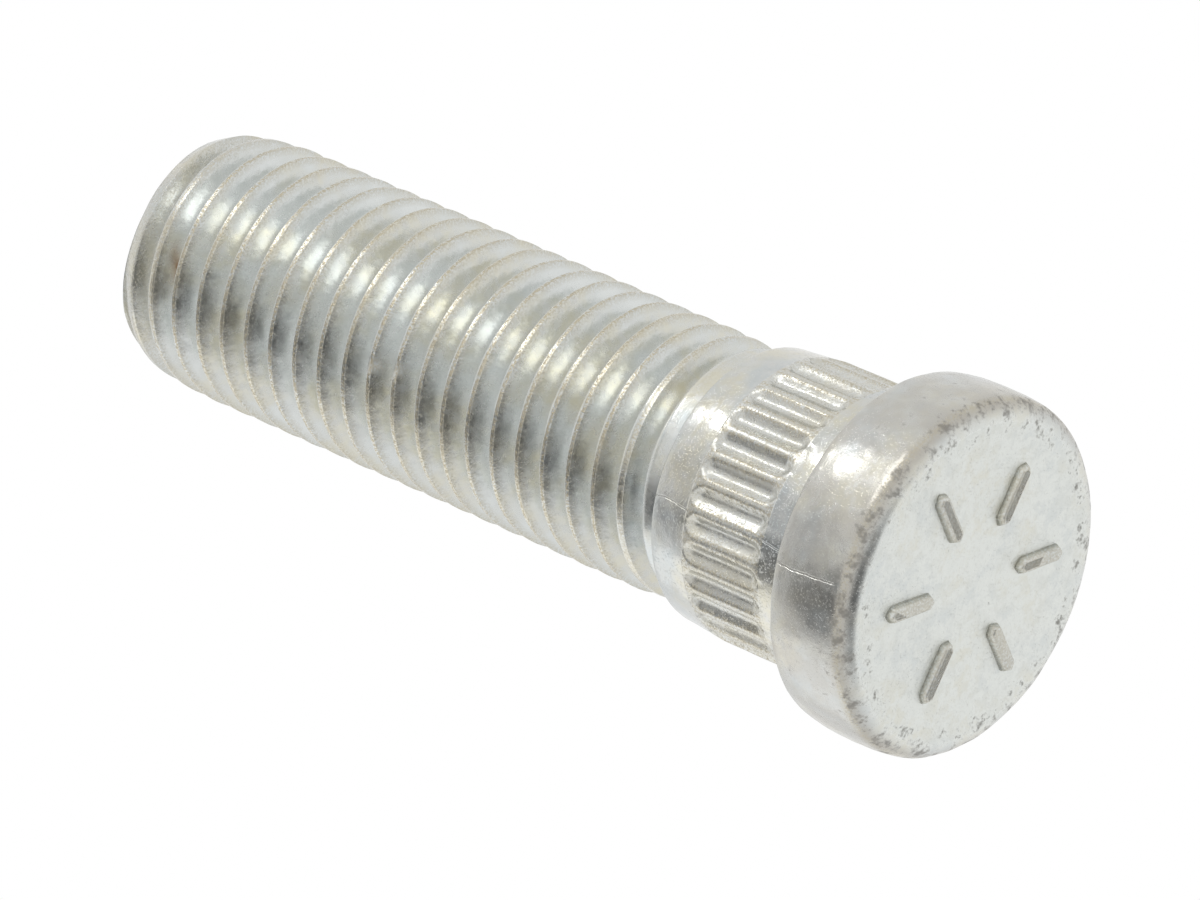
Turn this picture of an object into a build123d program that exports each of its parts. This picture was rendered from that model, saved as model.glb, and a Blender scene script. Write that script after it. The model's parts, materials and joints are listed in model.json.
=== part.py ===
"""Press-in wheel stud: one piece of steel, cold-headed, with a rolled knurl and a rolled thread.

The stud stands on its head. Z runs along its axis, up from the raised marks on the head's face to
the tip of the thread, and the origin is on the axis, level with the tops of those marks.
Lengths are in millimetres and angles in degrees.
"""

import os
from math import atan2, ceil, degrees, hypot, radians, sin, tan

from build123d import *

# Whole stud
overall_length = 46.3

# Head: a barrel-sided disc, rounded over to its flat face
head_diameter = 16.4
head_thickness = 4.4
head_bulge = 0.2
head_face_edge_radius = 1.0
head_seat_chamfer = 0.15

# Strength marks: short raised bars on the head's face, one every equal turn
mark_count = 6
mark_height = 0.3
mark_inner_radius = 2.6
mark_outer_radius = 5.6
mark_width = 0.8
mark_wall_run = 0.12

# Collar: the knurled part that is pressed into a hub, with a slight taper to lead it in
collar_diameter = 13.1
collar_length = 8.45
collar_seat_chamfer = 0.2
lead_in_diameter = 12.62
lead_in_length = 2.6
lead_in_chamfer = 0.12

# Knurl: grooves rolled into the collar, parallel to the axis
knurl_count = 32
knurl_depth = 0.3
knurl_length = 4.5
knurl_width = 0.96
knurl_wall_run = 0.3
knurl_seat_gap = 1.95

# Boat shape of the knurl's grooves and of the marks: half the angle of its pointed ends
point_angle = 50

# Neck: plain part between the collar and the thread, where the crests of the thread die away
neck_diameter = 11.4
neck_length = 0.35
crest_fade_length = 3.0

# Thread: metric fine, 12 mm by 1.5 mm, right-hand
thread_diameter = 11.95
thread_pitch = 1.5
thread_depth = 0.9
thread_flank_angle = 30
thread_collar_gap = 0.85
thread_runout_turns = 0.5
thread_start_angle = 90

# Tip: the first turns taper down, then a chamfer leads the nut on
tip_diameter = 10.6
tip_chamfer_length = 1.0
tip_taper_diameter = 11.5
tip_taper_length = 2.2

# How far a cutting shape passes outside the surface that it cuts
cut_margin = 0.1

# How far the shape that trims the shank stands clear of the full crests
trim_clearance = 0.3

# Heights along the axis
face_z = mark_height
seat_z = face_z + head_thickness
lead_in_z = seat_z + collar_length - lead_in_length
collar_end_z = seat_z + collar_length
crest_fade_z = collar_end_z + neck_length
chamfer_z = overall_length - tip_chamfer_length
groove_z = collar_end_z + thread_collar_gap
groove_turns = ceil((overall_length - groove_z) / thread_pitch) + 1
bar_top_z = groove_z + (groove_turns + 1) * thread_pitch

# Radii
head_radius = head_diameter / 2
head_end_radius = head_radius - head_bulge
collar_radius = collar_diameter / 2
lead_in_radius = lead_in_diameter / 2
neck_radius = neck_diameter / 2
thread_radius = thread_diameter / 2
thread_root_radius = thread_radius - thread_depth
tip_taper_radius = tip_taper_diameter / 2
tip_radius = tip_diameter / 2


def corner(section, radius, height):
    """The corner of a half section at this radius and height."""
    return section.vertices().sort_by_distance((radius, height))[0]


def head_and_collar():
    """The head and the collar, turned from their half section, without marks and knurl."""
    with BuildSketch(Plane.XZ) as section:
        with BuildLine():
            Line((0, face_z), (head_end_radius, face_z))
            ThreePointArc(
                (head_end_radius, face_z),
                (head_radius, face_z + head_thickness / 2),
                (head_end_radius, seat_z),
            )
            Polyline(
                (head_end_radius, seat_z),
                (collar_radius, seat_z),
                (collar_radius, lead_in_z),
                (lead_in_radius, collar_end_z),
                (0, collar_end_z),
                (0, face_z),
            )
        make_face()
        fillet(corner(section, head_end_radius, face_z), head_face_edge_radius)
        chamfer(corner(section, head_end_radius, seat_z), head_seat_chamfer)
        chamfer(corner(section, collar_radius, seat_z), collar_seat_chamfer)
        chamfer(corner(section, lead_in_radius, collar_end_z), lead_in_chamfer)
    return revolve(section.sketch, Axis.Z)


def shank_envelope():
    """Turned shape that trims the threaded bar to its neck, its fading crests and its tip."""
    clear_radius = thread_radius + trim_clearance
    fade_slope = crest_fade_length / (thread_radius - neck_radius)
    taper_slope = tip_taper_length / (thread_radius - tip_taper_radius)
    points = [
        (0, collar_end_z),
        (neck_radius, collar_end_z),
        (neck_radius, crest_fade_z),
        (clear_radius, crest_fade_z + fade_slope * (clear_radius - neck_radius)),
        (clear_radius, chamfer_z - taper_slope * (clear_radius - tip_taper_radius)),
        (tip_taper_radius, chamfer_z),
        (tip_radius, overall_length),
        (0, overall_length),
    ]
    return revolve(Plane.XZ * Polygon(*points, align=None), Axis.Z)


def groove_section():
    """Section of the thread's groove, standing on the X axis where the full groove starts."""
    outer = thread_depth + 2 * cut_margin
    half_outer = outer * tan(radians(thread_flank_angle))
    points = [(0, 0), (outer, -half_outer), (outer, half_outer)]
    plane = Plane(origin=(thread_root_radius, 0, groove_z), x_dir=(1, 0, 0), z_dir=(0, -1, 0))
    return plane * Polygon(*points, align=None)


def groove_turn(height):
    """Path of one turn of the thread's groove, from this height up."""
    return Helix(
        pitch=thread_pitch,
        height=thread_pitch,
        radius=thread_root_radius,
        center=(0, 0, height),
    )


def thread_groove():
    """The thread's groove at full depth, from its start near the neck to past the tip."""
    turns = [groove_turn(groove_z + turn * thread_pitch) for turn in range(groove_turns)]
    return sweep(groove_section(), path=Wire(turns), is_frenet=True)


def thread_runout():
    """The end of the groove, rising out of the neck on a cone as it winds down to the collar."""
    drop = thread_pitch * thread_runout_turns
    rise = thread_depth + cut_margin
    path = Helix(
        pitch=hypot(drop, rise) / thread_runout_turns,
        height=drop,
        radius=thread_root_radius,
        center=(0, 0, groove_z),
        direction=(0, 0, -1),
        cone_angle=degrees(atan2(rise, drop)),
    )
    return sweep(groove_section(), path=Rot(0, 0, 180) * path, is_frenet=True)


def threaded_shank():
    """The shank with its thread: a long bar is grooved, then trimmed to the shank's envelope."""
    bar_bottom_z = collar_end_z - cut_margin
    bar = Cylinder(thread_radius, bar_top_z - bar_bottom_z, align=(Align.CENTER, Align.CENTER, Align.MIN))
    grooved = Pos(0, 0, bar_bottom_z) * bar - thread_groove() - thread_runout()
    return (Rot(0, 0, thread_start_angle) * grooved) & shank_envelope()


def boat_outline(length, width):
    """Corners of a long shape with parallel sides and pointed ends, centred on its plane."""
    half_length = length / 2
    half_width = width / 2
    shoulder = half_length - half_width / tan(radians(point_angle))
    side = [(half_length, 0), (shoulder, half_width), (-shoulder, half_width)]
    return side + [(-x, -y) for x, y in side]


def boat(plane, height, length, width, wall_run):
    """Solid on a boat-shaped foot, whose walls lean in by wall_run over its height."""
    point_run = wall_run / sin(radians(point_angle))
    foot_outline = boat_outline(length, width)
    top_outline = boat_outline(length - 2 * point_run, width - 2 * wall_run)
    foot = [plane.from_local_coords((x, y, 0)) for x, y in foot_outline]
    top = [plane.from_local_coords((x, y, height)) for x, y in top_outline]
    walls = [[foot[i - 1], foot[i], top[i], top[i - 1]] for i in range(len(foot))]
    faces = [Face(Wire.make_polygon(corners)) for corners in [foot, top, *walls]]
    return Solid(Shell(faces))


def knurl_grooves():
    """All grooves of the knurl, as solids that narrow inwards from just outside the collar."""
    lean = knurl_wall_run / knurl_depth
    height = knurl_depth + cut_margin
    width = knurl_width + 2 * lean * cut_margin
    length = knurl_length + 2 * lean * cut_margin / sin(radians(point_angle))
    middle_z = seat_z + knurl_seat_gap + knurl_length / 2
    foot = Plane(origin=(collar_radius + cut_margin, 0, middle_z), x_dir=(0, 0, 1), z_dir=(-1, 0, 0))
    groove = boat(foot, height, length, width, lean * height)
    return [Rot(0, 0, 360 * turn / knurl_count) * groove for turn in range(knurl_count)]


def strength_marks():
    """The raised bars on the head's face, narrower at their tops than at the face."""
    middle_radius = (mark_outer_radius + mark_inner_radius) / 2
    foot = Plane(origin=(middle_radius, 0, face_z), x_dir=(1, 0, 0), z_dir=(0, 0, -1))
    length = mark_outer_radius - mark_inner_radius
    bar = boat(foot, mark_height, length, mark_width, mark_wall_run)
    return [Rot(0, 0, 360 * turn / mark_count) * bar for turn in range(mark_count)]


wheel_stud = head_and_collar() + threaded_shank()
wheel_stud -= knurl_grooves()
wheel_stud += strength_marks()

os.makedirs("parts", exist_ok=True)
export_step(wheel_stud, "parts/wheel_stud.step")
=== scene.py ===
"""Looks of a zinc-plated wheel stud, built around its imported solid.

Z runs along the stud's axis, up from the marks on its head to the tip of its thread.
Lengths are in metres, and MM turns millimetres into them.
"""

import json
from math import atan2, cos, pi, radians, sin, sqrt, tan

import bmesh
import bpy
import numpy as np
from mathutils import Euler, Matrix, Vector, noise


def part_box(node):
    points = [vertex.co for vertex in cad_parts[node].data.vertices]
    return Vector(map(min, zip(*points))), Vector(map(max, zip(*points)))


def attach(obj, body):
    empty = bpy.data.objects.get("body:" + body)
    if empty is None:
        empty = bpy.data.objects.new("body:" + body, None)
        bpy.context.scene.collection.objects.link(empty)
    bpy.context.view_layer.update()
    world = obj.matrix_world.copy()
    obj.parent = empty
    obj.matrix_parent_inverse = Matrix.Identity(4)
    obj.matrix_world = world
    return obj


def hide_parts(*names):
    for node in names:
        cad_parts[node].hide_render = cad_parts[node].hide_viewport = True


bl_info = {
    "name": "Wheel stud",
    "version": (1, 0, 0),
    "blender": (4, 5, 0),
    "location": "View3D > Sidebar > Wheel stud",
    "description": "Builds a zinc-plated wheel stud and its studio stage",
    "category": "Object",
}

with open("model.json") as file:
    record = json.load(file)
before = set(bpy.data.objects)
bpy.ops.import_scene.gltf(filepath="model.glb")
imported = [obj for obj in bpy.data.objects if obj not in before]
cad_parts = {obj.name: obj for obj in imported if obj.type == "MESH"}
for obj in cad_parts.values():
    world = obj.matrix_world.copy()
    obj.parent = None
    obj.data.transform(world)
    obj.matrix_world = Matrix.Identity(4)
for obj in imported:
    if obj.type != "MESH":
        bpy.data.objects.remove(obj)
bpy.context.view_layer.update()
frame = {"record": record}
stud_low, stud_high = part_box("wheel_stud")
mounts = {mount["name"]: mount for mount in frame["record"]["mounts"]}
MM = 0.001

# Points in a ring round the head or the shank; a ring of the collar has twice as many
ROUND_POINTS = 192

# Points on one side of a knurl groove's middle, as distances round the collar in millimetres
GROOVE_COLUMNS = (0.14, 0.22, 0.35, 0.46, 0.53)

# Rings along each part of the half section, with its first and last one
RINGS = {
    "face": 17,
    "face_edge": 13,
    "side": 15,
    "seat_edge": 7,
    "seat": 5,
    "foot": 6,
    "band": 7,
    "knurl_end": 12,
    "knurl": 7,
    "lead_in": 8,
    "lead_in_edge": 7,
}

# Share of the knurl's length, at each end, whose rings lie closer together
KNURL_END = 0.2

# Rows across one turn of the thread, as distances in millimetres along the axis from the groove's
# middle. They lie close together at the crest's edges, where the surface turns sharply.
ROWS_TO_HEAD = (-0.70, -0.66, -0.63, -0.60, -0.12, 0)
ROWS_TO_TIP = (0.05, 0.12, 0.28, 0.45, 0.60, 0.630, 0.640, 0.650)

# A row past this share of the distance to the crest's edge lies on the crest and keeps its height
ON_CREST = 1.05

# Times that a thread row's height is worked out again from the envelope at the height before
EDGE_PASSES = 6

# Rings of the tip's end face, as shares of its radius
END_FACE_RINGS = (0.985, 0.9, 0.6, 0.3)

# Width of the even strips that close the thread's rows off at the neck's foot and at the tip's rim
RIM_STRIP = 0.03 * MM

# Finest distance between two points that stay apart
MERGE_DISTANCE = 0.0002 * MM

# How softly a knurl groove's point runs into its sides, its walls into its floor and into the ridges
KNURL_POINT_BLEND = 0.15 * MM
KNURL_FLOOR_BLEND = 0.2 * MM
KNURL_RIDGE_BLEND = 0.12 * MM

# How softly the thread's flanks turn into its crests
CREST_BLEND = 0.016 * MM

# Wear of the crests: width of its edge, then how far and how strongly it runs down the flank that
# faces the head, then how far from the groove's middle it starts on the other side, and its fade there
WEAR_EDGE = 0.02 * MM
WEAR_REACH = 0.25 * MM
WEAR_BESIDE = 0.6
WEAR_START = 0.66 * MM
WEAR_FADE = 0.04 * MM

# Depth below the crests from which the unevenness follows the flanks alone
OUTWARD_DEPTH = 0.1 * MM

# Waves of the unevenness: length of the coarse and the fine ones, strength of the fine ones, and
# how far all of them are sunk below the form
COARSE_WAVE = 1.6 * MM
FINE_WAVE = 0.6 * MM
FINE_STRENGTH = 0.5
WAVE_SINK = 0.6

# Nicks in the thread's crests: height, turn, width and depth
NICKS = (
    (30.33 * MM, radians(-106.8), 0.30 * MM, 0.12 * MM),
    (28.90 * MM, radians(-104.0), 0.28 * MM, 0.12 * MM),
    (36.20 * MM, radians(35.0), 0.25 * MM, 0.08 * MM),
    (21.40 * MM, radians(150.0), 0.20 * MM, 0.08 * MM),
)

# Rust stain: height, turn, length round the axis, width along it and slope
STAIN = (43.30 * MM, radians(-104), 0.95 * MM, 0.13 * MM, 0.2)

# Seam left by the forging dies: its turn, how far it wanders and its half width, all as angles,
# then how often it wanders in a millimetre, its tint and its depth
SEAM_TURN = radians(-105.5)
SEAM_WOBBLE = radians(4)
SEAM_WIDTH = radians(0.55)
SEAM_WAVES = 0.6
SEAM_TINT = 0.35
SEAM_DEPTH = 0.03 * MM

# What each point carries for the finish, and for the unevenness of the shape
FINISH_LAYERS = ("wear", "dull", "grime", "matt", "bright", "rust", "rough", "speckled", "seam", "bloom")
SHAPE_LAYERS = ("forged", "outward")

# Finish of each surface, as values of those layers
FACE = {"grime": 0.25, "rough": 0.4, "forged": 1.0, "speckled": 1.0}
HEAD_SIDE = {"grime": 0.5, "rough": 0.22, "bloom": 0.45, "forged": 1.0, "speckled": 0.45}
COLLAR = {"dull": 0.25, "grime": 0.3, "forged": 0.6}
BAND = {**COLLAR, "rough": 0.15, "bloom": 0.2, "speckled": 0.8, "seam": 1.0}
KNURL = {**COLLAR, "rough": 0.25, "bloom": 0.5, "speckled": 1.0, "bright": 1.0}
THREAD = {"rough": 0.23, "forged": 0.5, "speckled": 0.1}
TIP = {"wear": 0.35, "dull": 0.2, "bloom": 0.2, "speckled": 0.6}
END_FACE = {"dull": 0.4, "rough": 0.3, "forged": 0.5, "speckled": 0.7}
MARK = {"matt": 0.75, "grime": 0.4, "wear": 0.5, "dull": 0.2, "rough": 0.35, "speckled": 0.9, "bloom": 0.4}

# What a nick adds to the thread's roughness, and how far it wears the plating off
NICK_ROUGH = 0.3
NICK_WEAR = 0.8

# What rubbing adds to the thread's speckles and takes from its brightness
RUBBED_SPECKLES = 0.7
RUBBED_LOSS = 0.8

# Wear between the knurl's grooves, and what a groove's edge adds to it over this width
KNURL_WEAR = 0.3
KNURL_EDGE_WEAR = 0.6
KNURL_EDGE_WIDTH = 0.1 * MM

# The head's edge, in radii of its rounding: middle and width of the grime, how far in it reaches,
# height over which the matt face turns into the dull side, then middle and width of the worn line
GRIME_MIDDLE = 0.35
GRIME_WIDTH = 0.6
GRIME_REACH = 1.6
MATT_HEIGHT = 0.3
WORN_MIDDLE = 0.55
WORN_WIDTH = 0.18

# Strength of that worn line, and of the dull blotches away from the edge
WORN_LINE = 0.6
SIDE_DULL = 0.7

# Grain of the plating: waves in a millimetre, detail and roughness of each noise
GRAIN = {
    "patches": (0.35, 3, 0.5),
    "waves": (0.8, 3, 0.5),
    "mottle": (1.7, 4, 0.6),
    "flecks": (6.0, 2, 0.5),
    "speckle": (10.0, 2, 0.6),
}

# Heights of the bumps that the grain makes
SWELL_HEIGHT = 0.052 * MM
MOTTLE_HEIGHT = 0.016 * MM
PIT_HEIGHT = 0.009 * MM
GLITTER_HEIGHT = 0.016 * MM

# Share of metal in the plating where it has bloomed most
BLOOMED_METAL = 0.68

# Share of a mark's height by which its foot is sunk into the face, and steps of its rounded edges
MARK_SINK = 0.2
MARK_EDGE_STEPS = 4

# Grey cards that the metal reflects: where they stand from the stud, seen from the camera,
# as right, up and towards it, then their half width and half height, as shares of STAND_OFF,
# and their shade
CARDS = {
    "card_left": (-0.92, -0.29, 0.26, 0.75, 0.58, 0.15),
    "card_left_high": (-0.93, 0.28, 0.20, 0.30, 0.38, 0.62),
    "card_at_camera": (0.57, -0.53, 0.63, 0.80, 0.62, 0.08),
}

# Share of a card's half width and half height at which it starts to fade
CARD_FADE = 0.1

# Lamps: where they stand, as the cards do, then their size across and their power in watts
LAMPS = {
    "lamp_above": (-0.62, 0.78, 0.08, 0.085, 0.17),
    "lamp_top": (-0.33, 0.75, 0.57, 0.27, 0.33),
    "lamp_below": (-0.55, -0.75, -0.30, 0.50, 0.22),
}

# How far the cards and lamps stand from the stud
STAND_OFF = 0.5

# Share of the white surround's strength that lights the stud
SURROUND_LIGHT = 0.8

# Width and roughness of the floor
FLOOR_WIDTH = 4
FLOOR_ROUGHNESS = 0.9

# Width of the camera's sensor in millimetres, and the nearest distance that it sees
SENSOR_WIDTH = 36
NEAREST = 10 * MM


def length(name, description, default_mm):
    """A property for a length, given in millimetres and kept in metres."""
    return bpy.props.FloatProperty(
        name=name, description=description, default=default_mm * MM, unit="LENGTH", precision=5
    )


def angle(name, description, default_degrees):
    """A property for an angle, given in degrees and kept in radians."""
    return bpy.props.FloatProperty(
        name=name, description=description, default=radians(default_degrees), subtype="ANGLE"
    )


def colour(name, description, default):
    """A property for a linear colour."""
    return bpy.props.FloatVectorProperty(
        name=name, description=description, default=default, subtype="COLOR", size=3, min=0, max=1
    )


class StudSizes(bpy.types.PropertyGroup):
    """Sizes of the stud, as its solid has them, with a finer thread"""

    overall: length("Overall length", "From the marks on the head to the tip", stud_high.z / MM)
    head_diameter: length("Head diameter", "Across the widest part", (stud_high.x - stud_low.x) / MM)
    head_thickness: length("Head thickness", "From the flat face to the seat", 4.4)
    head_bulge: length("Head bulge", "How far the barrel side stands out", 0.2)
    face_edge: length("Face edge radius", "Rounding between face and side", 1.0)
    seat_edge: length("Seat edge radius", "Rounding between side and seat", 0.2)
    mark_count: bpy.props.IntProperty(name="Marks", description="Raised marks on the face", default=6)
    mark_height: length("Mark height", "How far the marks stand off the face", 0.3)
    mark_inner: length("Mark inner radius", "Where a mark starts", 2.6)
    mark_outer: length("Mark outer radius", "Where a mark ends", 5.6)
    mark_width: length("Mark width", "Width of a mark at its foot", 0.8)
    mark_wall: length("Mark wall run", "How far a mark's walls lean in", 0.12)
    mark_edge: length("Mark edge radius", "Rounding of a mark's top", 0.1)
    collar_diameter: length(
        "Collar diameter", "Over the ridges", 2 * mounts["knurled_collar"]["dims"]["r_mm"]
    )
    collar_length: length("Collar length", "From the seat to the collar's end", 8.45)
    collar_foot: length("Collar foot radius", "Rounding between collar and seat", 0.2)
    lead_in_diameter: length("Lead-in diameter", "At the collar's end", 12.62)
    lead_in_length: length("Lead-in length", "Length of the taper", 2.6)
    lead_in_edge: length("Lead-in edge radius", "Rounding at the collar's end", 0.15)
    knurl_count: bpy.props.IntProperty(name="Grooves", description="Grooves of the knurl", default=32)
    knurl_depth: length("Knurl depth", "Depth of a groove", 0.3)
    knurl_length: length("Knurl length", "Length of a groove", 4.5)
    knurl_width: length("Knurl width", "Width of a groove at the ridges", 0.96)
    knurl_wall: length("Knurl wall run", "How far a groove's walls lean in", 0.3)
    knurl_gap: length("Knurl seat gap", "Plain band between seat and knurl", 1.95)
    point_angle: angle("Point angle", "Half the angle of the pointed ends", 50)
    neck_diameter: length("Neck diameter", "Plain part behind the thread", 11.4)
    neck_length: length("Neck length", "Plain part behind the thread", 0.35)
    crest_fade: length("Crest fade", "Length over which the crests rise", 3.0)
    thread_diameter: length(
        "Thread diameter", "Over the crests", 2 * mounts["nut_thread"]["dims"]["r_mm"]
    )
    pitch: length("Pitch", "Advance of the thread in one turn", 1.5)
    thread_depth: length("Thread depth", "From the crests to the bottom of the groove", 0.95)
    thread_crest: length("Thread crest", "Width of the flat on the crests", 0.22)
    thread_rounding: length("Thread rounding", "How softly the groove's bottom turns into its flanks", 0.12)
    flank_angle: angle("Flank angle", "Lean of the thread's flanks", 30)
    groove_gap: length("Groove gap", "From the collar to the full groove", 0.85)
    thread_start: angle("Thread start", "Turn at which the full groove starts", 90)
    runout_turns: bpy.props.FloatProperty(
        name="Run-out", description="Turns over which the groove fades", default=0.5
    )
    runout_lift: length("Run-out lift", "How far the groove ends outside the crests", 0.1)
    tip_diameter: length("Tip diameter", "At the end face", 10.6)
    tip_chamfer: length("Tip chamfer", "Length of the chamfer", 1.0)
    taper_diameter: length("Taper diameter", "At the end of the taper", 11.5)
    taper_length: length("Taper length", "Length of the taper before the chamfer", 2.2)
    unevenness: length("Unevenness", "How far the forged head departs from its form", 0.03)


class StudFinish(bpy.types.PropertyGroup):
    """Colours of the plating and of what lies on it"""

    pale: colour("Pale zinc", "Plating at its brightest", (0.61, 0.62, 0.605))
    straw: colour("Straw tint", "Warm tint of the passivated film", (0.63, 0.605, 0.49))
    blue: colour("Blue tint", "Cool tint of the passivated film", (0.52, 0.56, 0.57))
    bright: colour("Bright zinc", "Plating that the thread's flanks have kept", (0.69, 0.71, 0.695))
    face: colour("Face", "Matt plating of the head's face", (0.77, 0.79, 0.76))
    worn: colour("Worn edge", "Bare, burnished edges", (0.46, 0.42, 0.32))
    dull: colour("Dull", "Blotches on the head's side", (0.45, 0.435, 0.40))
    grime: colour("Grime", "Dark specks along the head's edge", (0.22, 0.21, 0.19))
    rust: colour("Rust", "Stain in a groove near the tip", (0.26, 0.15, 0.07))


class StudStage(bpy.types.PropertyGroup):
    """Floor, surround and camera"""

    floor: colour("Floor", "Colour of the floor", (0.86, 0.86, 0.86))
    surround: bpy.props.FloatProperty(
        name="Surround", description="Strength of the white surround", default=1
    )
    lens: bpy.props.FloatProperty(name="Lens", description="Focal length", default=330, unit="CAMERA")
    aim: bpy.props.FloatVectorProperty(
        name="Aim",
        description="Point that the camera looks at",
        default=(-1.14 * MM, 0, 21.4 * MM),
        unit="LENGTH",
    )
    distance: length("Distance", "From the aim to the camera", 476.9)
    elevation: angle("Elevation", "Of the camera above the horizon", -37.69)
    roll: angle("Roll", "Turn of the camera about its line of sight", -66.48)


class Surface:
    """Gathers rings of points round the axis, with what they carry, and faces between them."""

    layers = FINISH_LAYERS + SHAPE_LAYERS

    def __init__(self):
        self.points = []
        self.values = {layer: [] for layer in self.layers}
        self.faces = []
        self.count = 0

    def ring(self, radius, turns, height, **values):
        """Adds points at these radii, turns and heights, and returns their numbers."""
        x, y, z = np.broadcast_arrays(radius * np.cos(turns), radius * np.sin(turns), height)
        self.points.append(np.stack([x, y, z], axis=1))
        for layer in self.layers:
            self.values[layer].append(np.broadcast_to(values.get(layer, 0.0), x.shape))
        start = self.count
        self.count += len(x)
        return np.arange(start, self.count)

    def join(self, lower, upper):
        """Quads between two rings with as many points."""
        quads = np.stack([lower, np.roll(lower, -1), np.roll(upper, -1), upper], axis=1)
        self.faces.extend(quads.tolist())

    def halve(self, fine, coarse):
        """Triangles between a ring and one with half as many points."""
        even = fine[0::2]
        odd = fine[1::2]
        after = np.roll(coarse, -1)
        self.faces.extend(np.stack([even, odd, coarse], axis=1).tolist())
        self.faces.extend(np.stack([odd, np.roll(even, -1), after], axis=1).tolist())
        self.faces.extend(np.stack([odd, after, coarse], axis=1).tolist())

    def wind(self, rows, per_turn):
        """Quads between rows that rise by per_turn rows in each turn round the axis."""
        last = len(rows) - 1
        for low in range(last):
            here = rows[low]
            above = rows[low + 1]
            after = np.append(here[1:], rows[min(low + per_turn, last)][0])
            above_after = np.append(above[1:], rows[min(low + 1 + per_turn, last)][0])
            self.faces.extend(np.stack([here, after, above_after, above], axis=1).tolist())

    def cap(self, ring, height, **values):
        """Closes a ring with a fan round the axis."""
        pole = int(self.ring(np.zeros(1), 0.0, height, **values)[0])
        self.faces.extend([[int(a), int(b), pole] for a, b in zip(ring, np.roll(ring, -1))])

    def build(self, name):
        """The gathered points and faces as a smooth mesh object, with doubles merged."""
        mesh = bpy.data.meshes.new(name)
        mesh.from_pydata(np.concatenate(self.points).tolist(), [], self.faces)
        for layer in self.layers:
            carry(mesh, layer, np.concatenate(self.values[layer]))
        work = bmesh.new()
        work.from_mesh(mesh)
        bmesh.ops.remove_doubles(work, verts=work.verts, dist=MERGE_DISTANCE)
        bmesh.ops.dissolve_degenerate(work, edges=work.edges, dist=MERGE_DISTANCE)
        bmesh.ops.recalc_face_normals(work, faces=work.faces)
        work.to_mesh(mesh)
        work.free()
        mesh.shade_smooth()
        piece = bpy.data.objects.new(name, mesh)
        bpy.context.scene.collection.objects.link(piece)
        return piece


def carry(mesh, layer, values):
    """Gives a mesh's points the values of one layer."""
    attribute = mesh.attributes.new(layer, "FLOAT", "POINT")
    attribute.data.foreach_set("value", values.astype(np.float32))


def soft_min(a, b, blend):
    """The smaller of two values, rounded off where they meet."""
    mix = np.clip(0.5 + 0.5 * (b - a) / blend, 0, 1)
    return b + (a - b) * mix - blend * mix * (1 - mix)


def bell(distance, width):
    """A smooth hump, 1 at no distance."""
    return np.exp(-((distance / width) ** 2))


def raised(base, share):
    """A value that rises from its base to 1 as the share does."""
    return base + (1 - base) * share


def seat_height(sizes):
    """Height of the seat under the head."""
    return sizes.mark_height + sizes.head_thickness


def collar_end(sizes):
    """Height at which the collar ends and the neck starts."""
    return seat_height(sizes) + sizes.collar_length


def head_rings(sizes):
    """Radius and height along the head's half section, from its face to its seat."""
    face = sizes.mark_height
    seat = seat_height(sizes)
    half = sizes.head_thickness / 2
    barrel = (half ** 2 + sizes.head_bulge ** 2) / (2 * sizes.head_bulge)
    barrel_centre = sizes.head_diameter / 2 - barrel
    face_drop = half - sizes.face_edge
    face_centre = barrel_centre + sqrt((barrel - sizes.face_edge) ** 2 - face_drop ** 2)
    face_turn = atan2(face_drop, face_centre - barrel_centre)
    seat_drop = half - sizes.seat_edge
    seat_centre = barrel_centre + sqrt((barrel - sizes.seat_edge) ** 2 - seat_drop ** 2)
    seat_turn = atan2(seat_drop, seat_centre - barrel_centre)
    rings = [(face_centre * part, face) for part in np.linspace(0, 1, RINGS["face"])[1:-1]]
    for turn in np.linspace(-pi / 2, -face_turn, RINGS["face_edge"]):
        rings.append((face_centre + sizes.face_edge * cos(turn), face + sizes.face_edge * (1 + sin(turn))))
    for turn in np.linspace(-face_turn, seat_turn, RINGS["side"])[1:-1]:
        rings.append((barrel_centre + barrel * cos(turn), face + half + barrel * sin(turn)))
    for turn in np.linspace(seat_turn, pi / 2, RINGS["seat_edge"]):
        rings.append((seat_centre + sizes.seat_edge * cos(turn), seat - sizes.seat_edge * (1 - sin(turn))))
    foot = sizes.collar_diameter / 2 + sizes.collar_foot
    rings += [(radius, seat) for radius in np.linspace(seat_centre, foot, RINGS["seat"])[1:-1]]
    return rings


def collar_rings(sizes):
    """Radius and height along the collar's half section, from its foot to the neck."""
    seat = seat_height(sizes)
    end = collar_end(sizes)
    radius = sizes.collar_diameter / 2
    end_radius = sizes.lead_in_diameter / 2
    lean = (radius - end_radius) / sizes.lead_in_length
    knurl_low = seat + sizes.knurl_gap
    knurl_high = knurl_low + sizes.knurl_length
    point = KNURL_END * sizes.knurl_length
    foot = sizes.collar_foot
    edge = sizes.lead_in_edge
    rings = []
    for turn in np.linspace(0, pi / 2, RINGS["foot"]):
        rings.append((radius + foot * (1 - sin(turn)), seat + foot * (1 - cos(turn))))
    heights = np.concatenate([
        np.linspace(seat + foot, knurl_low, RINGS["band"])[1:-1],
        np.linspace(knurl_low, knurl_low + point, RINGS["knurl_end"]),
        np.linspace(knurl_low + point, knurl_high - point, RINGS["knurl"])[1:-1],
        np.linspace(knurl_high - point, knurl_high, RINGS["knurl_end"]),
        np.linspace(knurl_high, end - edge, RINGS["lead_in"])[1:-1],
    ])
    rings += [(radius - lean * max(0.0, z - end + sizes.lead_in_length), z) for z in heights]
    for turn in np.linspace(0, pi / 2, RINGS["lead_in_edge"]):
        below_end = edge * (1 - sin(turn))
        rings.append((end_radius + lean * below_end - edge * (1 - cos(turn)), end - below_end))
    rings.append(((end_radius + sizes.neck_diameter / 2) / 2, end))
    return rings


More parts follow.
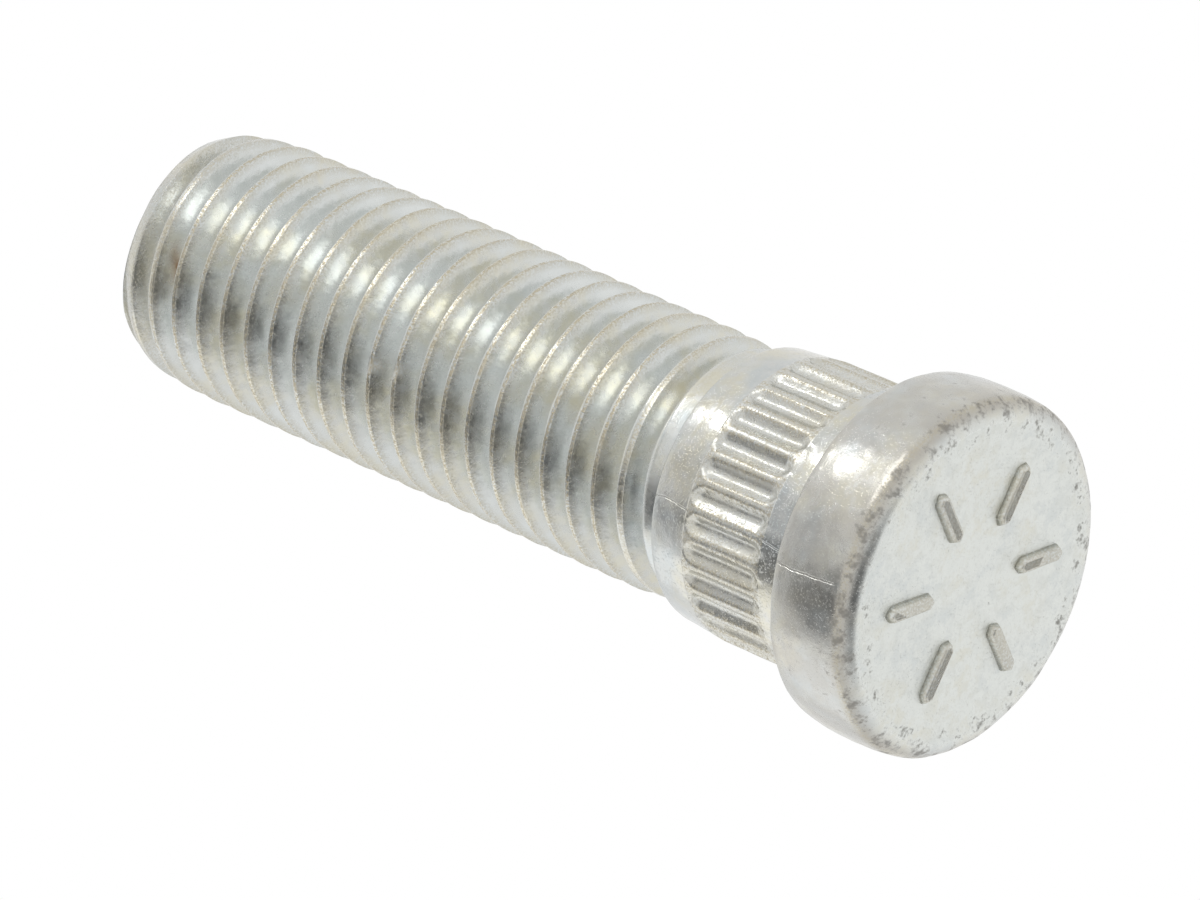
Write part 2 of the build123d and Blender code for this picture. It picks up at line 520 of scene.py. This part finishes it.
def knurl_cut(sizes, along, across):
    """Depth of the knurl's groove at this distance along and across it from its middle."""
    side = sizes.knurl_width / 2 - np.abs(across)
    point = (sizes.knurl_length / 2 - np.abs(along)) * sin(sizes.point_angle)
    point = point - np.abs(across) * cos(sizes.point_angle)
    wall = soft_min(side, point, KNURL_POINT_BLEND) * sizes.knurl_depth / sizes.knurl_wall
    floor = soft_min(wall, np.full_like(wall, sizes.knurl_depth), KNURL_FLOOR_BLEND)
    return -soft_min(-floor, np.zeros_like(floor), KNURL_RIDGE_BLEND)


def shank_envelope(sizes, height):
    """Radius that the shank keeps within, from its neck over its crests to its tip."""
    neck = collar_end(sizes)
    fade = neck + sizes.neck_length
    chamfer = sizes.overall - sizes.tip_chamfer
    heights = [neck, fade, fade + sizes.crest_fade, chamfer - sizes.taper_length, chamfer, sizes.overall]
    diameters = [sizes.neck_diameter] * 2 + [sizes.thread_diameter] * 2
    diameters += [sizes.taper_diameter, sizes.tip_diameter]
    return np.interp(height, heights, np.array(diameters) / 2)


def crest_edge(sizes, envelope):
    """Distance along the axis from the groove's middle to where its flank meets this radius."""
    below = sizes.thread_diameter / 2 - envelope
    return (sizes.pitch - sizes.thread_crest) / 2 - below * tan(sizes.flank_angle)


def full_groove(sizes):
    """Height of the groove's middle where it has just reached its full depth."""
    return collar_end(sizes) + sizes.groove_gap


def advance(sizes, turns):
    """How far the groove climbs from there to these turns."""
    return sizes.pitch * (turns - sizes.thread_start) / (2 * pi)


def groove_radius(sizes, height, along):
    """Radius of the groove's bottom and flanks at this distance along the axis from its middle."""
    faded = np.maximum((full_groove(sizes) - height + along) / (sizes.pitch * sizes.runout_turns), 0)
    lift = (sizes.thread_depth + sizes.runout_lift) * faded
    root = sizes.thread_diameter / 2 - sizes.thread_depth + lift
    half_root = crest_edge(sizes, sizes.thread_diameter / 2 - sizes.thread_depth)
    climb = (np.abs(along) - half_root) / tan(sizes.flank_angle)
    return root - soft_min(-climb, np.zeros_like(climb), sizes.thread_rounding)


def row_height(sizes, middle, offset):
    """Height of a row at this offset from the groove's middle, drawn in as far as the crest's edges are."""
    full_edge = crest_edge(sizes, sizes.thread_diameter / 2)
    height = middle + offset
    if abs(offset) > ON_CREST * full_edge:
        return height
    for _ in range(EDGE_PASSES):
        height = middle + offset * crest_edge(sizes, shank_envelope(sizes, height)) / full_edge
    return height


def arc_from(sizes, turns, turn):
    """Distance round the thread's crests from this turn, negative before it."""
    return sizes.thread_diameter / 2 * (np.mod(turns - turn + pi, 2 * pi) - pi)


def shank_ring(sizes, surface, turns, height):
    """One row of points of the neck, the thread and the tip."""
    half_pitch = sizes.pitch / 2
    unwound = height - full_groove(sizes) - advance(sizes, turns)
    along = np.mod(unwound + half_pitch, sizes.pitch) - half_pitch
    envelope = shank_envelope(sizes, height)
    flank = groove_radius(sizes, height, along)
    radius = soft_min(envelope, flank, CREST_BLEND)
    nicked = np.zeros_like(turns)
    for nick_height, nick_turn, width, depth in NICKS:
        dent = bell(np.hypot(arc_from(sizes, turns, nick_turn), height - nick_height), width)
        radius = radius - depth * dent * (flank > envelope)
        nicked = np.maximum(nicked, dent)
    stain_height, stain_turn, stain_length, stain_width, slope = STAIN
    arc = arc_from(sizes, turns, stain_turn)
    rust = bell(arc, stain_length) * bell(height - stain_height - slope * arc, stain_width)
    rise = np.clip((height - collar_end(sizes) - sizes.neck_length) / sizes.crest_fade, 0, 1)
    over = np.clip(0.5 + (flank - envelope) / WEAR_EDGE, 0, 1)
    beside = WEAR_BESIDE * np.clip(1 - (envelope - flank) / WEAR_REACH, 0, 1)
    started = np.clip((-along - WEAR_START) / WEAR_FADE, 0, 1)
    wear = rise * np.where(along > 0, np.maximum(over, beside), over * started)
    taper_start = sizes.overall - sizes.tip_chamfer - sizes.taper_length
    tip = np.clip((height - taper_start) / sizes.taper_length, 0, 1)
    rubbed = np.maximum(wear, tip * over)
    speckled = np.maximum(THREAD["speckled"] + RUBBED_SPECKLES * rubbed, TIP["speckled"] * tip)
    return surface.ring(
        radius,
        turns,
        height,
        wear=np.maximum(wear * (1 - tip) + TIP["wear"] * tip, NICK_WEAR * nicked),
        dull=TIP["dull"] * tip,
        bloom=np.maximum(TIP["bloom"] * tip, nicked),
        bright=rise * (1 - RUBBED_LOSS * rubbed),
        rust=rust,
        rough=THREAD["rough"] + NICK_ROUGH * nicked,
        forged=THREAD["forged"],
        outward=np.clip(1 - (envelope - flank) / OUTWARD_DEPTH, 0, 1),
        speckled=np.maximum(speckled, nicked),
    )


class STUD_OT_body(bpy.types.Operator):
    """Build the head, collar, neck, thread and tip as one closed surface"""

    bl_idname = "stud.body"
    bl_label = "Stud body"

    def execute(self, context):
        sizes = context.scene.stud_sizes
        surface = Surface()
        turns = 2 * pi * np.arange(ROUND_POINTS) / ROUND_POINTS
        head_end = self.head(sizes, surface, turns)
        neck = self.collar(sizes, surface, turns, head_end)
        self.shank(sizes, surface, turns, neck)
        piece = surface.build("stud_body")
        roughen(piece.data, sizes.unevenness)
        piece.data.materials.append(zinc_plating())
        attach(piece, "root")
        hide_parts("wheel_stud")
        return {"FINISHED"}

    def head(self, sizes, surface, turns):
        """The head, from its face to the last ring of its seat, which is returned."""
        face = sizes.mark_height
        edge = sizes.face_edge
        last = None
        for radius, height in head_rings(sizes):
            up = height - face
            finish = FACE if height == face else HEAD_SIDE
            side = float(np.clip(up / (MATT_HEIGHT * edge), 0, 1))
            near_edge = radius > sizes.head_diameter / 2 - GRIME_REACH * edge
            on_edge = near_edge * bell(up - GRIME_MIDDLE * edge, GRIME_WIDTH * edge)
            values = dict(
                finish,
                grime=raised(finish["grime"], on_edge),
                dull=raised(SIDE_DULL, on_edge) * side,
                matt=1 - side,
                wear=WORN_LINE * bell(up - WORN_MIDDLE * edge, WORN_WIDTH * edge),
                seam=float(up > edge),
            )
            ring = surface.ring(radius, turns, height, **values)
            if last is None:
                surface.cap(ring, face, matt=1.0, **FACE)
            else:
                surface.join(last, ring)
            last = ring
        return last

    def collar(self, sizes, surface, turns, head_end):
        """The collar with its knurl, from the head's last ring to the neck, which is returned."""
        over_ridges = sizes.collar_diameter / 2
        columns = np.array(GROOVE_COLUMNS) * MM
        ridge = pi * over_ridges / sizes.knurl_count
        across = np.concatenate([-columns[::-1], [0], columns, [ridge]])
        if len(across) * sizes.knurl_count != 2 * ROUND_POINTS:
            raise RuntimeError("The collar needs twice as many points round it as the head")
        middles = 2 * pi * np.arange(sizes.knurl_count) / sizes.knurl_count
        knurl_turns = (middles[:, None] + across / over_ridges).ravel()
        all_across = np.tile(across, sizes.knurl_count)
        groove_edge = bell(np.abs(all_across) - sizes.knurl_width / 2, KNURL_EDGE_WIDTH)
        half_length = sizes.knurl_length / 2
        middle = seat_height(sizes) + sizes.knurl_gap + half_length
        last = None
        for radius, height in collar_rings(sizes):
            along = np.full_like(all_across, height - middle)
            knurled = abs(height - middle) < half_length
            near_knurl = abs(height - middle) < half_length + KNURL_POINT_BLEND
            cut = knurl_cut(sizes, along, all_across) - (over_ridges - radius)
            ring = surface.ring(
                radius - np.maximum(0, cut) * near_knurl,
                knurl_turns,
                height,
                wear=(KNURL_WEAR + KNURL_EDGE_WEAR * groove_edge) * knurled,
                **(KNURL if knurled else BAND),
            )
            if last is None:
                surface.halve(ring, head_end)
            else:
                surface.join(last, ring)
            last = ring
        neck = shank_ring(sizes, surface, turns, np.full_like(turns, collar_end(sizes)))
        surface.halve(last, neck)
        return neck

    def shank(self, sizes, surface, turns, neck):
        """The neck, thread and tip, as rows that wind up with the thread."""
        offsets = np.array([*ROWS_TO_HEAD, *ROWS_TO_TIP, sizes.pitch / 2 / MM]) * MM
        middle = full_groove(sizes) + advance(sizes, turns)
        low = collar_end(sizes) + RIM_STRIP
        high = sizes.overall - RIM_STRIP
        first_turn = int(np.floor(-sizes.groove_gap / sizes.pitch)) - 2
        last_turn = int(np.ceil((sizes.overall - full_groove(sizes)) / sizes.pitch)) + 1
        rows = []
        for turn in range(first_turn, last_turn + 1):
            for offset in offsets:
                height = row_height(sizes, middle + turn * sizes.pitch, offset)
                rows.append(shank_ring(sizes, surface, turns, np.clip(height, low, high)))
        surface.join(neck, rows[0])
        surface.wind(rows, len(offsets))
        last = shank_ring(sizes, surface, turns, np.full_like(turns, sizes.overall))
        surface.join(rows[-1], last)
        rim_radius = np.hypot(*surface.points[-1][:, :2].T)
        for part in END_FACE_RINGS:
            ring = surface.ring(part * rim_radius, turns, sizes.overall, **END_FACE)
            surface.join(last, ring)
            last = ring
        surface.cap(last, sizes.overall, **END_FACE)


def roughen(mesh, reach):
    """Moves a mesh's points by a noise, along their normals or straight out from the axis."""
    count = len(mesh.vertices)
    points = np.empty(3 * count)
    normals = np.empty(3 * count)
    forged = np.empty(count)
    outward = np.empty(count)
    mesh.vertices.foreach_get("co", points)
    mesh.vertex_normals.foreach_get("vector", normals)
    mesh.attributes["forged"].data.foreach_get("value", forged)
    mesh.attributes["outward"].data.foreach_get("value", outward)
    points = points.reshape(-1, 3)
    normals = normals.reshape(-1, 3)
    from_axis = points * (1, 1, 0)
    from_axis /= np.maximum(np.linalg.norm(from_axis, axis=1), MERGE_DISTANCE)[:, None]
    ways = normals + (from_axis - normals) * outward[:, None]
    coarse = np.array([noise.noise(Vector(point) / COARSE_WAVE) for point in points])
    fine = np.array([noise.noise(Vector(point) / FINE_WAVE) for point in points])
    waves = coarse + FINE_STRENGTH * fine - WAVE_SINK
    points += ways * (reach * forged * waves)[:, None]
    mesh.vertices.foreach_set("co", points.ravel())
    mesh.update()


def boat_outline(sizes, size, width):
    """Corners of a long shape with parallel sides and pointed ends, centred on its plane."""
    shoulder = size / 2 - width / 2 / tan(sizes.point_angle)
    side = [(size / 2, 0), (shoulder, width / 2), (-shoulder, width / 2)]
    return side + [(-x, -y) for x, y in side]


class STUD_OT_marks(bpy.types.Operator):
    """Build the raised strength marks on the head's face"""

    bl_idname = "stud.marks"
    bl_label = "Strength marks"

    def execute(self, context):
        sizes = context.scene.stud_sizes
        work = bmesh.new()
        for mark in range(sizes.mark_count):
            self.bar(sizes, work, 2 * pi * mark / sizes.mark_count)
        bmesh.ops.recalc_face_normals(work, faces=work.faces)
        mesh = bpy.data.meshes.new("strength_marks")
        work.to_mesh(mesh)
        work.free()
        mesh.shade_smooth()
        for layer in FINISH_LAYERS:
            carry(mesh, layer, np.full(len(mesh.vertices), MARK.get(layer, 0.0)))
        piece = bpy.data.objects.new("strength_marks", mesh)
        context.scene.collection.objects.link(piece)
        piece.data.materials.append(zinc_plating())
        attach(piece, "root")
        return {"FINISHED"}

    def bar(self, sizes, work, turn):
        """One mark, with its foot sunk into the face and its top rounded."""
        run = sizes.mark_wall * (1 + MARK_SINK)
        point_run = run / sin(sizes.point_angle)
        foot_grow = sizes.mark_wall * MARK_SINK
        foot_size = sizes.mark_outer - sizes.mark_inner + 2 * foot_grow / sin(sizes.point_angle)
        foot_width = sizes.mark_width + 2 * foot_grow
        place = Matrix.Rotation(turn, 3, "Z")
        middle = (sizes.mark_outer + sizes.mark_inner) / 2

        def corners(outline, height):
            return [work.verts.new(place @ Vector((middle + x, y, height))) for x, y in outline]

        foot = corners(boat_outline(sizes, foot_size, foot_width), sizes.mark_height * (1 + MARK_SINK))
        top = corners(boat_outline(sizes, foot_size - 2 * point_run, foot_width - 2 * run), 0)
        faces = [work.faces.new(foot), work.faces.new(top)]
        for i in range(len(foot)):
            faces.append(work.faces.new([foot[i - 1], foot[i], top[i], top[i - 1]]))
        all_edges = {edge for face in faces for edge in face.edges}
        bmesh.ops.bevel(
            work,
            geom=[edge for edge in all_edges if not all(vertex in foot for vertex in edge.verts)],
            offset=sizes.mark_edge,
            segments=MARK_EDGE_STEPS,
            profile=0.5,
            affect="EDGES",
            clamp_overlap=True,
        )


class NodeMaker:
    """Short ways to add nodes to a material."""

    def __init__(self, material):
        material.use_nodes = True
        self.nodes = material.node_tree.nodes
        self.links = material.node_tree.links

    def set(self, socket, value):
        """Links a socket to another node's output, or gives it a value."""
        if isinstance(value, bpy.types.NodeSocket):
            self.links.new(value, socket)
        else:
            socket.default_value = value

    def layer(self, name):
        """A value that the mesh carries at its points."""
        node = self.nodes.new("ShaderNodeAttribute")
        node.attribute_name = name
        return node.outputs["Fac"]

    def place(self):
        """Position on the object, in millimetres."""
        source = self.nodes.new("ShaderNodeTexCoord")
        mapping = self.nodes.new("ShaderNodeMapping")
        mapping.inputs["Scale"].default_value = (1 / MM, 1 / MM, 1 / MM)
        self.links.new(source.outputs["Object"], mapping.inputs["Vector"])
        return mapping.outputs["Vector"]

    def noise(self, vector, scale, detail=3.0, rough=0.5):
        """Noise with this many waves in a millimetre."""
        node = self.nodes.new("ShaderNodeTexNoise")
        node.inputs["Scale"].default_value = scale
        node.inputs["Detail"].default_value = detail
        node.inputs["Roughness"].default_value = rough
        self.links.new(vector, node.inputs["Vector"])
        return node.outputs["Fac"]

    def band(self, value, low, high, to_low=0.0, to_high=1.0):
        """A value turned smoothly from one range into another."""
        node = self.nodes.new("ShaderNodeMapRange")
        node.interpolation_type = "SMOOTHSTEP"
        for name, number in zip(("From Min", "From Max", "To Min", "To Max"), (low, high, to_low, to_high)):
            node.inputs[name].default_value = number
        self.links.new(value, node.inputs["Value"])
        return node.outputs["Result"]

    def math(self, operation, a, b):
        """One sum."""
        node = self.nodes.new("ShaderNodeMath")
        node.operation = operation
        self.set(node.inputs[0], a)
        self.set(node.inputs[1], b)
        return node.outputs["Value"]

    def times(self, a, b):
        """One value times another."""
        return self.math("MULTIPLY", a, b)

    def plus(self, a, b):
        """The sum of two values."""
        return self.math("ADD", a, b)

    def mix(self, factor, a, b):
        """A colour between two colours."""
        node = self.nodes.new("ShaderNodeMix")
        node.data_type = "RGBA"
        self.set(node.inputs["Factor"], factor)
        self.set(node.inputs["A"], a)
        self.set(node.inputs["B"], b)
        return node.outputs["Result"]

    def bump(self, height, distance, normal=None):
        """A bumped normal."""
        node = self.nodes.new("ShaderNodeBump")
        node.inputs["Distance"].default_value = distance
        self.links.new(height, node.inputs["Height"])
        if normal is not None:
            self.links.new(normal, node.inputs["Normal"])
        return node.outputs["Normal"]


def seam_line(make, place, strength):
    """A thin line along the stud, left by the dies that forged it, where the surface carries it."""
    split = make.nodes.new("ShaderNodeSeparateXYZ")
    make.links.new(place, split.inputs["Vector"])
    turn = make.math("ARCTAN2", split.outputs["Y"], split.outputs["X"])
    wobble = make.times(make.noise(place, SEAM_WAVES), SEAM_WOBBLE)
    off = make.math("ABSOLUTE", make.plus(turn, make.plus(wobble, -SEAM_TURN)), 0.0)
    return make.times(make.band(off, 0.3 * SEAM_WIDTH, SEAM_WIDTH, 1.0, 0.0), strength)


def zinc_colour(make, grain, carried, dirt, seam):
    """The plating's colour: tinted film, bright flanks, matt face, then tarnish, wear, dirt and rust."""
    finish = bpy.context.scene.stud_finish
    film = make.mix(make.band(grain["patches"], 0.38, 0.62), (*finish.blue, 1), (*finish.straw, 1))
    plating = make.mix(make.band(grain["mottle"], 0.35, 0.7, 0.15, 0.85), film, (*finish.pale, 1))
    coats = (
        (make.times(carried["bright"], make.band(grain["patches"], 0.3, 0.62, 0.95, 0.3)), finish.bright),
        (make.times(carried["matt"], make.band(grain["mottle"], 0.36, 0.62, 0.58, 1.0)), finish.face),
        (make.times(carried["dull"], make.band(grain["waves"], 0.32, 0.62, 0.5, 1.0)), finish.dull),
        (make.times(carried["wear"], make.band(grain["speckle"], 0.34, 0.56)), finish.worn),
        (dirt, finish.grime),
        (make.times(carried["rust"], make.band(grain["mottle"], 0.3, 0.5, 0.5, 1.0)), finish.rust),
        (make.times(seam, SEAM_TINT), finish.grime),
    )
    for cover, tint in coats:
        plating = make.mix(cover, plating, (*tint, 1))
    return plating


def zinc_normal(make, grain, carried, seam):
    """The plating's bumps: slow swells, mottle, fine pits, glitter on worn edges and the seam."""
    swell = make.times(grain["waves"], make.band(carried["bright"], 0.0, 1.0, 0.5, 1.0))
    pits = make.band(grain["speckle"], 0.56, 0.72)
    bumps = (
        (swell, SWELL_HEIGHT),
        (make.times(grain["mottle"], carried["speckled"]), MOTTLE_HEIGHT),
        (make.times(pits, carried["speckled"]), PIT_HEIGHT),
        (make.times(make.math("SUBTRACT", grain["speckle"], 0.5), carried["wear"]), GLITTER_HEIGHT),
        (make.times(seam, -1.0), SEAM_DEPTH),
    )
    normal = None
    for height, distance in bumps:
        normal = make.bump(height, distance, normal)
    return normal


def zinc_plating():
    """Bright zinc plating over forged and rolled steel, with worn edges, grime and a rust stain."""
    material = bpy.data.materials.get("zinc_plating")
    if material:
        return material
    material = bpy.data.materials.new("zinc_plating")
    make = NodeMaker(material)
    place = make.place()
    grain = {name: make.noise(place, *settings) for name, settings in GRAIN.items()}
    carried = {name: make.layer(name) for name in FINISH_LAYERS}
    seam = seam_line(make, place, carried["seam"])
    smudge = make.plus(make.times(grain["mottle"], 0.7), make.times(grain["flecks"], 0.3))
    dirt = make.band(make.plus(smudge, make.times(carried["grime"], 0.25)), 0.71, 0.88, 0.0, 0.75)
    roughness = make.plus(carried["rough"], make.band(grain["mottle"], 0.3, 0.7, -0.05, 0.08))
    sockets = {
        "Base Color": zinc_colour(make, grain, carried, dirt, seam),
        "Metallic": make.band(carried["bloom"], 0.0, 1.0, 1.0, BLOOMED_METAL),
        "Roughness": make.plus(roughness, make.times(dirt, 0.25)),
        "Normal": zinc_normal(make, grain, carried, seam),
    }
    shader = make.nodes["Principled BSDF"]
    for name, value in sockets.items():
        make.links.new(value, shader.inputs[name])
    return material


class STUD_OT_stage(bpy.types.Operator):
    """Set up the floor, the white surround, lamps, grey cards and camera"""

    bl_idname = "stud.stage"
    bl_label = "Stage"

    def execute(self, context):
        stage = context.scene.stud_stage
        context.scene.view_settings.view_transform = "Standard"
        view = Euler((radians(90) - stage.elevation, 0, 0)).to_matrix() @ Matrix.Rotation(stage.roll, 3, "Z")
        self.floor(context, stage)
        self.surround(context, stage)
        for name, (right, up, towards, half_width, half_height, shade) in CARDS.items():
            place = standing(view, (right, up, towards))
            self.card(context, name, place, half_width * STAND_OFF, half_height * STAND_OFF, shade)
        for name, (right, up, towards, size, power) in LAMPS.items():
            self.lamp(context, name, standing(view, (right, up, towards)), size, power)
        self.camera(context, stage, view)
        return {"FINISHED"}

    def floor(self, context, stage):
        """A wide pale floor under the stud, which only an eye above it sees."""
        bpy.ops.mesh.primitive_plane_add(size=FLOOR_WIDTH)
        floor = context.object
        floor.name = "floor"
        floor.data.materials.append(floor_paint(stage.floor))
        floor.visible_diffuse = False
        floor.visible_glossy = False
        floor.visible_transmission = False
        floor.visible_shadow = False

    def surround(self, context, stage):
        """White all round, as the camera and the metal see it."""
        world = bpy.data.worlds.new("white_surround")
        context.scene.world = world
        make = NodeMaker(world)
        rays = make.nodes.new("ShaderNodeLightPath")
        seen = make.math("MAXIMUM", rays.outputs["Is Camera Ray"], rays.outputs["Is Glossy Ray"])
        seen = make.math("MAXIMUM", seen, rays.outputs["Is Transmission Ray"])
        strength = make.nodes.new("ShaderNodeMix")
        make.set(strength.inputs["Factor"], seen)
        strength.inputs["A"].default_value = SURROUND_LIGHT * stage.surround
        strength.inputs["B"].default_value = stage.surround
        background = make.nodes["Background"]
        background.inputs["Color"].default_value = (1, 1, 1, 1)
        make.links.new(strength.outputs["Result"], background.inputs["Strength"])

    def card(self, context, name, place, wide, high, shade):
        """A grey card with soft edges, for the metal to reflect."""
        mesh = bpy.data.meshes.new(name)
        corners = [(-wide, -high, 0), (wide, -high, 0), (wide, high, 0), (-wide, high, 0)]
        mesh.from_pydata(corners, [], [(0, 1, 2, 3)])
        mesh.materials.append(card_paint(name, wide, high, shade))
        card = bpy.data.objects.new(name, mesh)
        card.matrix_world = place
        card.visible_camera = False
        card.visible_diffuse = False
        card.visible_shadow = False
        context.scene.collection.objects.link(card)

    def lamp(self, context, name, place, size, power):
        """A soft round lamp."""
        light = bpy.data.lights.new(name, "AREA")
        light.shape = "DISK"
        light.size = size
        light.energy = power
        lamp = bpy.data.objects.new(name, light)
        lamp.matrix_world = place
        lamp.visible_camera = False
        context.scene.collection.objects.link(lamp)

    def camera(self, context, stage, view):
        """The camera, at the photograph's viewing angle."""
        data = bpy.data.cameras.new("camera")
        data.lens = stage.lens
        data.sensor_width = SENSOR_WIDTH
        data.clip_start = NEAREST
        camera = bpy.data.objects.new("camera", data)
        place = Vector(stage.aim) + view @ Vector((0, 0, stage.distance))
        camera.matrix_world = Matrix.Translation(place) @ view.to_4x4()
        context.scene.collection.objects.link(camera)
        context.scene.camera = camera


def standing(view, direction):
    """A place off the stud in this direction of the view, facing the stud, with Y near the camera's up."""
    back = (view @ Vector(direction)).normalized()
    side = (view @ Vector((0, 1, 0))).cross(back).normalized()
    turn = Matrix((side, back.cross(side), back)).transposed()
    centre = Vector((0, 0, stud_high.z / 2))
    return Matrix.Translation(centre + turn @ Vector((0, 0, STAND_OFF))) @ turn.to_4x4()


def floor_paint(shade):
    """Pale paint that is clear from below."""
    material = bpy.data.materials.new("floor_paint")
    make = NodeMaker(material)
    shader = make.nodes["Principled BSDF"]
    shader.inputs["Base Color"].default_value = (*shade, 1)
    shader.inputs["Roughness"].default_value = FLOOR_ROUGHNESS
    clear = make.nodes.new("ShaderNodeBsdfTransparent")
    side = make.nodes.new("ShaderNodeNewGeometry")
    mix = make.nodes.new("ShaderNodeMixShader")
    make.links.new(side.outputs["Backfacing"], mix.inputs["Fac"])
    make.links.new(shader.outputs["BSDF"], mix.inputs[1])
    make.links.new(clear.outputs["BSDF"], mix.inputs[2])
    make.links.new(mix.outputs["Shader"], make.nodes["Material Output"].inputs["Surface"])
    return material


def card_paint(name, wide, high, shade):
    """A grey that fades to clear at the card's edges."""
    material = bpy.data.materials.new(name)
    make = NodeMaker(material)
    make.nodes.remove(make.nodes["Principled BSDF"])
    source = make.nodes.new("ShaderNodeTexCoord")
    split = make.nodes.new("ShaderNodeSeparateXYZ")
    make.links.new(source.outputs["Object"], split.inputs["Vector"])
    fades = []
    for axis, reach in (("X", wide), ("Y", high)):
        distance = make.math("ABSOLUTE", split.outputs[axis], 0.0)
        fades.append(make.band(distance, CARD_FADE * reach, reach, 1.0, 0.0))
    clear = make.nodes.new("ShaderNodeBsdfTransparent")
    grey = make.nodes.new("ShaderNodeEmission")
    grey.inputs["Color"].default_value = (shade, shade, shade, 1)
    mix = make.nodes.new("ShaderNodeMixShader")
    make.links.new(make.times(fades[0], fades[1]), mix.inputs["Fac"])
    make.links.new(clear.outputs["BSDF"], mix.inputs[1])
    make.links.new(grey.outputs["Emission"], mix.inputs[2])
    make.links.new(mix.outputs["Shader"], make.nodes["Material Output"].inputs["Surface"])
    return material


class STUD_PT_panel(bpy.types.Panel):
    """Lists the pieces of the stud"""

    bl_idname = "STUD_PT_panel"
    bl_label = "Wheel stud"
    bl_space_type = "VIEW_3D"
    bl_region_type = "UI"
    bl_category = "Wheel stud"

    def draw(self, context):
        for operator in (STUD_OT_body, STUD_OT_marks, STUD_OT_stage):
            self.layout.operator(operator.bl_idname)


CLASSES = (StudSizes, StudFinish, StudStage, STUD_OT_body, STUD_OT_marks, STUD_OT_stage, STUD_PT_panel)
GROUPS = {"stud_sizes": StudSizes, "stud_finish": StudFinish, "stud_stage": StudStage}


def register():
    for item in CLASSES:
        bpy.utils.register_class(item)
    for name, group in GROUPS.items():
        setattr(bpy.types.Scene, name, bpy.props.PointerProperty(type=group))


def unregister():
    for name in GROUPS:
        delattr(bpy.types.Scene, name)
    for item in reversed(CLASSES):
        bpy.utils.unregister_class(item)


def main():
    """Builds the pieces and the stage."""
    register()
    bpy.ops.stud.body()
    bpy.ops.stud.marks()
    bpy.ops.stud.stage()


if __name__ == "__main__":
    main()
